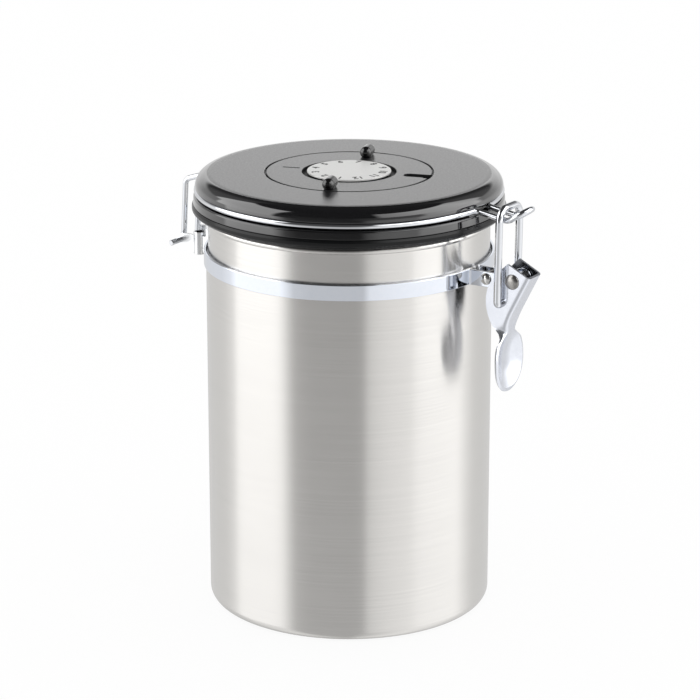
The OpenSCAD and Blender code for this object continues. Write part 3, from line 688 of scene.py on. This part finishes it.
catchAngle, catchX = leaves(bail["catchY"])
hingeAngle, legX = leaves(bail["legY"])
tipZ = bail["catchZ"] + (bail["tipX"] - bail["bendX"]) * math.tan(math.radians(bail["rise"]))
bailWire = sectionAcross("bail", roundSection(bail["wire"]), (bail["tipX"], 0, tipZ),
                         (0, 1, 0), (0, 0, 1))
bendAlong([(bail["tipX"], 0, tipZ), (bail["tipX"], bail["catchY"], tipZ),
           (bail["bendX"], bail["catchY"], bail["catchZ"]), (catchX, bail["catchY"], bail["ringZ"]),
           onRing(catchAngle)], bail["frontBends"])
swing((0, 0, bail["ringZ"]), (0, 0, 1), math.pi - hingeAngle - catchAngle, 110)
pinEnd = (bail["hingeX"], bail["pinEnd"] - bail["burr"], bail["hingeZ"])
bendAlong([onRing(math.pi - hingeAngle), (-legX, bail["legY"], bail["ringZ"]),
           (bail["hingeX"] + bail["legOut"], bail["legY"], bail["ringZ"] - bail["legDown"]),
           (bail["hingeX"], bail["legY"], bail["hingeZ"]), pinEnd], bail["backBends"])
closeEnd(pinEnd, (0, 1, 0), bail["burr"])
mirrored(bailWire)
finishPiece(bailWire, wireChrome, "lid", "wire_chrome", "bail_wire")
print("bail made")


# Latch link

link = {"wire": 3, "barX": 74.8, "barZ": 177.4, "legY": 8.1, "pinX": 74.3, "pinZ": 138.6,
        "pinEnd": 4.0, "burr": 0.3, "bends": (5, 1.8)}
linkWire = sectionAcross("link", roundSection(link["wire"]), (link["barX"], 0, link["barZ"]),
                         (0, 1, 0), (0, 0, 1))
pinEnd = (link["pinX"], link["pinEnd"] + link["burr"], link["pinZ"])
bendAlong([(link["barX"], 0, link["barZ"]), (link["barX"], link["legY"], link["barZ"]),
           (link["pinX"], link["legY"], link["pinZ"]), pinEnd], link["bends"])
closeEnd(pinEnd, (0, -1, 0), link["burr"])
mirrored(linkWire)
finishPiece(linkWire, wireChrome, "link", "wire_chrome", "latch_link")
print("link made")


# Latch lever: one pressed sheet, a channel that pinches to a neck and opens as a dished pad

lever = {"pivot": (79.3, 148.3), "top": -2, "halfWidth": 5.3, "corner": 1.7, "sheet": 1, "edge": 0.2,
         "narrowing": 0.3, "narrowFrom": 14, "narrowOver": 5,
         "neckHalf": 5, "neckEnd": 9, "neckOver": 7, "foldEnd": 17,
         "padTop": 20.8, "padTall": 26, "padHalf": 11, "oval": 2.3,
         "padFrom": 5.9, "padLead": 5.3, "padOver": 6.2,
         "dish": 2.9, "dishShare": 0.9, "dishRound": 2.4, "dishSoft": 1.1, "rim": 0.9,
         # how the sheet's width is shared: half the web, then a corner, and the wall is the rest
         "webShare": 0.34, "cornerShare": 0.26, "wallFrom": 0.6, "wallShare": 0.4,
         # (distance down from the pivot, place of the web in front of it)
         "front": [(-8, 10.66), (-2, 7.6), (8, 2.5), (14.5, -0.75), (18, -2.1), (21, -2.75),
                   (25, -2.85), (29.9, -2.6), (35.9, -2.4), (41.9, -2.7), (46.8, -3.5), (53.3, -4.6)],
         # (distance down, depth of the side walls behind the web)
         "walls": [(-6.5, 9.2), (-2, 11), (3.4, 12.9), (8.5, 13.9), (11.4, 13.5), (14.7, 12),
                   (17.7, 9.4), (20.1, 6.6), (22.2, 4), (24.7, 2.4), (28.3, 1.7), (51.5, 1), (80, 1)],
         # the grid: points across and down, and the part of the rows above this distance down
         "columns": 41, "rows": 72, "evenRows": 0.25, "evenDown": 11}


def eased(t):
    t = min(1, max(0, t))
    return t * t * (3 - 2 * t)


def through(curve, x):
    # a smooth curve through the points
    i = max(k for k in range(1, len(curve) - 2) if k == 1 or x >= curve[k][0])
    (x0, y0), (x1, y1), (x2, y2), (x3, y3) = curve[i - 1:i + 3]
    wide, u = x2 - x1, (x - x1) / (x2 - x1)
    rise, rise1, rise2 = y2 - y1, (y2 - y0) / (x2 - x0) * wide, (y3 - y1) / (x3 - x1) * wide
    return y1 + u * (rise1 + u * (3 * rise - 2 * rise1 - rise2 + u * (rise1 + rise2 - 2 * rise)))


def channelPoint(down, s):
    # half the folded sheet as (to the side, behind the web)
    narrowed = eased((down - lever["narrowFrom"]) / lever["narrowOver"])
    half = lever["halfWidth"] - lever["narrowing"] * narrowed
    depth = through(lever["walls"], down)
    corner = min(lever["corner"], depth * 0.9)
    if s < lever["webShare"]:
        return (half - corner) * s / lever["webShare"], 0
    if s < lever["wallFrom"]:
        a = (s - lever["webShare"]) / lever["cornerShare"] * math.pi / 2
        return half - corner + corner * math.sin(a), corner * (1 - math.cos(a))
    return half, corner + (depth - corner) * (s - lever["wallFrom"]) / lever["wallShare"]


def padPoint(down, s):
    # half the dished oval as (to the side, behind the web)
    power, fromMiddle = lever["oval"], abs(2 * (down - lever["padTop"]) / lever["padTall"] - 1)
    oval = max(0, 1 - fromMiddle ** power) ** (1 / power)
    neckLeft = (lever["padTop"] + lever["neckEnd"] - down) / lever["neckOver"]
    padHalf = max(lever["padHalf"] * oval, lever["neckHalf"] * eased(neckLeft), 0.3)
    outFrom = (fromMiddle ** power + (s * oval) ** power) ** (1 / power)
    bowl = max(0, 1 - (outFrom / lever["dishShare"]) ** lever["dishRound"]) ** lever["dishSoft"]
    return padHalf * s, lever["dish"] * bowl + lever["rim"] * s ** 6 * oval


def leverPoint(down, s):
    # s runs from -1 at one free edge, over the web at 0, to 1 at the other
    side, s = (1 if s >= 0 else -1), abs(s)
    slope = (through(lever["front"], down + 0.2) - through(lever["front"], down - 0.2)) / 0.4
    outward = Vector((1, 0, slope)).normalized()
    y, deep = channelPoint(down, s)
    padY, padDeep = padPoint(down, s)
    # the web gives way to the pad first, and the walls after it
    into = down - lever["padTop"] + lever["padFrom"] - lever["padLead"] * s
    blend = eased(into / lever["padOver"])
    y, deep = y + (padY - y) * blend, deep + (padDeep - deep) * blend
    x, z = lever["pivot"]
    return Vector((x + through(lever["front"], down), side * y, z - down)) - outward * deep


def insideChannel(face):
    # the faces of the folded part that look at each other, and the web's back between them, which
    # take the painted shade
    x, y, z = (c / mm for c in face.center)
    down = lever["pivot"][1] - z
    webX = lever["pivot"][0] + through(lever["front"], down)
    innerWall = face.normal.y * y < -0.3 * abs(y) and abs(y) < lever["halfWidth"] - 0.5
    webBack = face.normal.x < -0.5 and x > webX - 1.6 and abs(y) < 4.6
    return down < lever["foldEnd"] and (innerWall or webBack)


startClean()
bpy.ops.mesh.primitive_grid_add(x_subdivisions=lever["columns"] - 1,
                                y_subdivisions=lever["rows"] - 1, size=1)
latchLever = bpy.context.object
padTip = lever["padTop"] + lever["padTall"]
for vertex in latchLever.data.vertices:
    s, v = vertex.co.x * 2, 0.5 - vertex.co.y
    if v < lever["evenRows"]:
        down = lever["top"] + (lever["evenDown"] - lever["top"]) * v / lever["evenRows"]
    else:
        share = (v - lever["evenRows"]) / (1 - lever["evenRows"])
        down = lever["evenDown"] + (padTip - lever["evenDown"]) * math.sin(share * math.pi / 2)
    vertex.co = leverPoint(down, s) * mm
latchLever.name = latchLever.data.name = "lever_and_pad"
tidy(latchLever, 60, 0.0005)
modify(latchLever, "SOLIDIFY", thickness=lever["sheet"] * mm, offset=-1, use_even_offset=True)
modify(latchLever, "BEVEL", width=lever["edge"] * mm, segments=2, limit_method="ANGLE",
       angle_limit=math.radians(60))
modify(latchLever, "SUBSURF", levels=1, render_levels=1)
tidy(latchLever, 60, 0.0005)
# the inside of the fold is painted in shade with the dark chrome
finishPiece(latchLever, leverChrome, "lever", "latch_chrome", "latch_lever", other=chromeWithPaintedShade,
            where=insideChannel)
print("lever made")


# Pieces that keep their shape from the frame and get their finish

keptNodes = {"spacer_sleeves": zinc, "lid_plug": plugPlastic, "lid_screws": zinc, "dial_screw": zinc,
             "vent_grille": plugPlastic, "vent_filter": wadding, "vent_flap": flapRubber}
for node, material in keptNodes.items():
    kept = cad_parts[node]
    kept.data.materials.clear()
    kept.data.materials.append(material)


# Studio: a white sweep, and plain light with the grey and white panels that the metal mirrors

view = {"lens": 150.2, "sensor": 36, "at": (618.4, -973.8, 462.7), "down": 17.19, "turn": 32.4,
        "clip": (50, 20000)}
studio = {"level": 1.0, "panels": 1.14,
          # each row fades in between two heights of the mirrored ray's direction
          "rows": [("ground", -1.2, -1.1), ("floor", -0.58, -0.42), ("walls", -0.24, -0.12),
                   ("overhead", -0.02, 0.1), ("ceiling", 0.3, 0.4), ("zenith", 0.77, 0.81)],
          # azimuth from the camera's side (degrees, positive to its right) and brightness
          "ground": [(-180, 0.5), (-110, 0.7), (-100, 0.85), (-58, 0.85), (-47, 0.48), (5, 0.46),
                     (16, 0.58), (30, 0.72), (60, 0.95), (98, 0.95), (110, 0.8), (180, 0.55)],
          "floor": [(-180, 0.62), (-120, 0.7), (-108, 0.82), (-100, 1.05), (-56, 1.02), (-44, 0.59),
                    (-30, 0.53), (11, 0.52), (16, 0.78), (30, 0.84), (52, 0.92), (98, 1.02),
                    (108, 0.84), (120, 0.7), (180, 0.62)],
          "walls": [(-180, 0.66), (-150, 0.63), (-132, 0.76), (-120, 0.88), (-104, 0.98),
                    (-100, 2.1), (-57, 1.95), (-47, 0.42), (-38, 0.16), (8, 0.12), (14, 0.54),
                    (22, 0.88), (34, 1.0), (50, 1.02), (54, 1.7), (98, 2.05), (106, 1.4),
                    (124, 0.88), (146, 0.64), (180, 0.62)],
          "overhead": [(-180, 0.86), (-155, 0.72), (-140, 0.56), (-121, 0.66), (-115, 0.7),
                       (-112, 2.3), (-60, 2.3), (-56, 0.13), (0, 0.1), (20, 0.3), (54, 0.5),
                       (60, 1.9), (78, 2.4), (110, 2.3), (116, 0.7), (140, 0.62), (155, 0.76),
                       (180, 0.86)],
          "ceiling": [(-180, 0.02), (-160, 0.06), (-145, 0.2), (-125, 0.28), (-121, 2.1),
                      (-60, 2.3), (-56, 0.06), (20, 0.05), (26, 1.5), (60, 2.4), (100, 2.6),
                      (119, 1.7), (123, 0.28), (145, 0.2), (160, 0.06), (180, 0.02)],
          "zenith": [(-180, 0.05), (180, 0.05)]}
sweep = {"wide": 6000, "below": 0.1, "glow": 0.9}

world = bpy.data.worlds.new("studio")
bpy.context.scene.world = world
world.use_nodes = True
tree = world.node_tree
tree.nodes.clear()
outlook = addNode(tree, "ShaderNodeTexCoord").outputs["Generated"]
heading = addNode(tree, "ShaderNodeVectorRotate",
                  {"rotation_type": "Z_AXIS", "Angle": math.radians(90 - view["turn"])},
                  {"Vector": outlook})
split = addNode(tree, "ShaderNodeSeparateXYZ", {}, {0: heading.outputs[0]})
turn = addNode(tree, "ShaderNodeMath", {"operation": "ARCTAN2"},
               {0: split.outputs[1], 1: split.outputs[0]})
around = addNode(tree, "ShaderNodeMapRange", {1: -math.pi, 2: math.pi, 3: 0, 4: 1},
                 {0: turn.outputs[0]})
rampScale = 4                                              # keeps the ramps' colours below 1
reflected = addNode(tree, "ShaderNodeRGB").outputs[0]
for name, start, end in studio["rows"]:
    ramp = addNode(tree, "ShaderNodeValToRGB", {}, {0: around.outputs[0]})
    while len(ramp.color_ramp.elements) < len(studio[name]):
        ramp.color_ramp.elements.new(0.5)
    for element, (azimuth, bright) in zip(ramp.color_ramp.elements, studio[name]):
        element.position = (azimuth + 180) / 360
        element.color = (bright / rampScale, bright / rampScale, bright / rampScale, 1)
    rising = addNode(tree, "ShaderNodeMapRange",
                     {1: start, 2: end, "interpolation_type": "SMOOTHSTEP"}, {0: split.outputs[2]})
    reflected = addNode(tree, "ShaderNodeMix", {"data_type": "RGBA"},
                        {0: rising.outputs[0], 6: reflected, 7: ramp.outputs[0]}).outputs[2]
rays = addNode(tree, "ShaderNodeLightPath")
mirroredPanels = addNode(tree, "ShaderNodeBackground", {"Strength": studio["panels"] * rampScale},
                         {0: reflected})
plain = addNode(tree, "ShaderNodeBackground", {"Color": (1, 1, 1, 1), "Strength": studio["level"]})
lit = addNode(tree, "ShaderNodeMixShader", {},
              {0: rays.outputs["Is Glossy Ray"], 1: plain.outputs[0], 2: mirroredPanels.outputs[0]})
white = addNode(tree, "ShaderNodeBackground", {"Color": (1, 1, 1, 1), "Strength": 1})
seen = addNode(tree, "ShaderNodeMath", {"operation": "MAXIMUM"},
               {0: rays.outputs["Is Camera Ray"], 1: rays.outputs["Is Transmission Ray"]})
shown = addNode(tree, "ShaderNodeMixShader", {},
                {0: seen.outputs[0], 1: lit.outputs[0], 2: white.outputs[0]})
addNode(tree, "ShaderNodeOutputWorld", {}, {0: shown.outputs[0]})

startClean()
bpy.ops.mesh.primitive_plane_add(size=sweep["wide"] * mm, location=(0, 0, -sweep["below"] * mm))
floor = bpy.context.object
floor.name = "studio_floor"
floor.visible_glossy = False                               # the panels stand for it in the metal
paper, tree, shader, place = startMaterial("white_paper_sweep", {"Roughness": 0.9})
feed(tree, shader, {"Base Color": tinted(tree, grain(tree, place, 2), "#FDFDFD", "#FFFFFF")})
glow = addNode(tree, "ShaderNodeEmission", {"Strength": 1})
toCamera = addNode(tree, "ShaderNodeLightPath").outputs["Is Camera Ray"]
over = addNode(tree, "ShaderNodeMath", {"operation": "MULTIPLY", 1: sweep["glow"]}, {0: toCamera})
faint = addNode(tree, "ShaderNodeMixShader", {},
                {0: over.outputs[0], 1: shader.outputs[0], 2: glow.outputs[0]})
tree.links.new(faint.outputs[0], tree.nodes["Material Output"].inputs["Surface"])
floor.data.materials.append(paper)

scene = bpy.context.scene
scene.view_settings.view_transform = "Standard"
camera = bpy.data.objects.new("camera", bpy.data.cameras.new("camera"))
scene.collection.objects.link(camera)
camera.data.lens, camera.data.sensor_width = view["lens"], view["sensor"]
camera.location = [c * mm for c in view["at"]]
camera.rotation_euler = (math.radians(90 - view["down"]), 0, math.radians(view["turn"]))
camera.data.clip_start, camera.data.clip_end = [c * mm for c in view["clip"]]
scene.camera = camera
print("studio made")
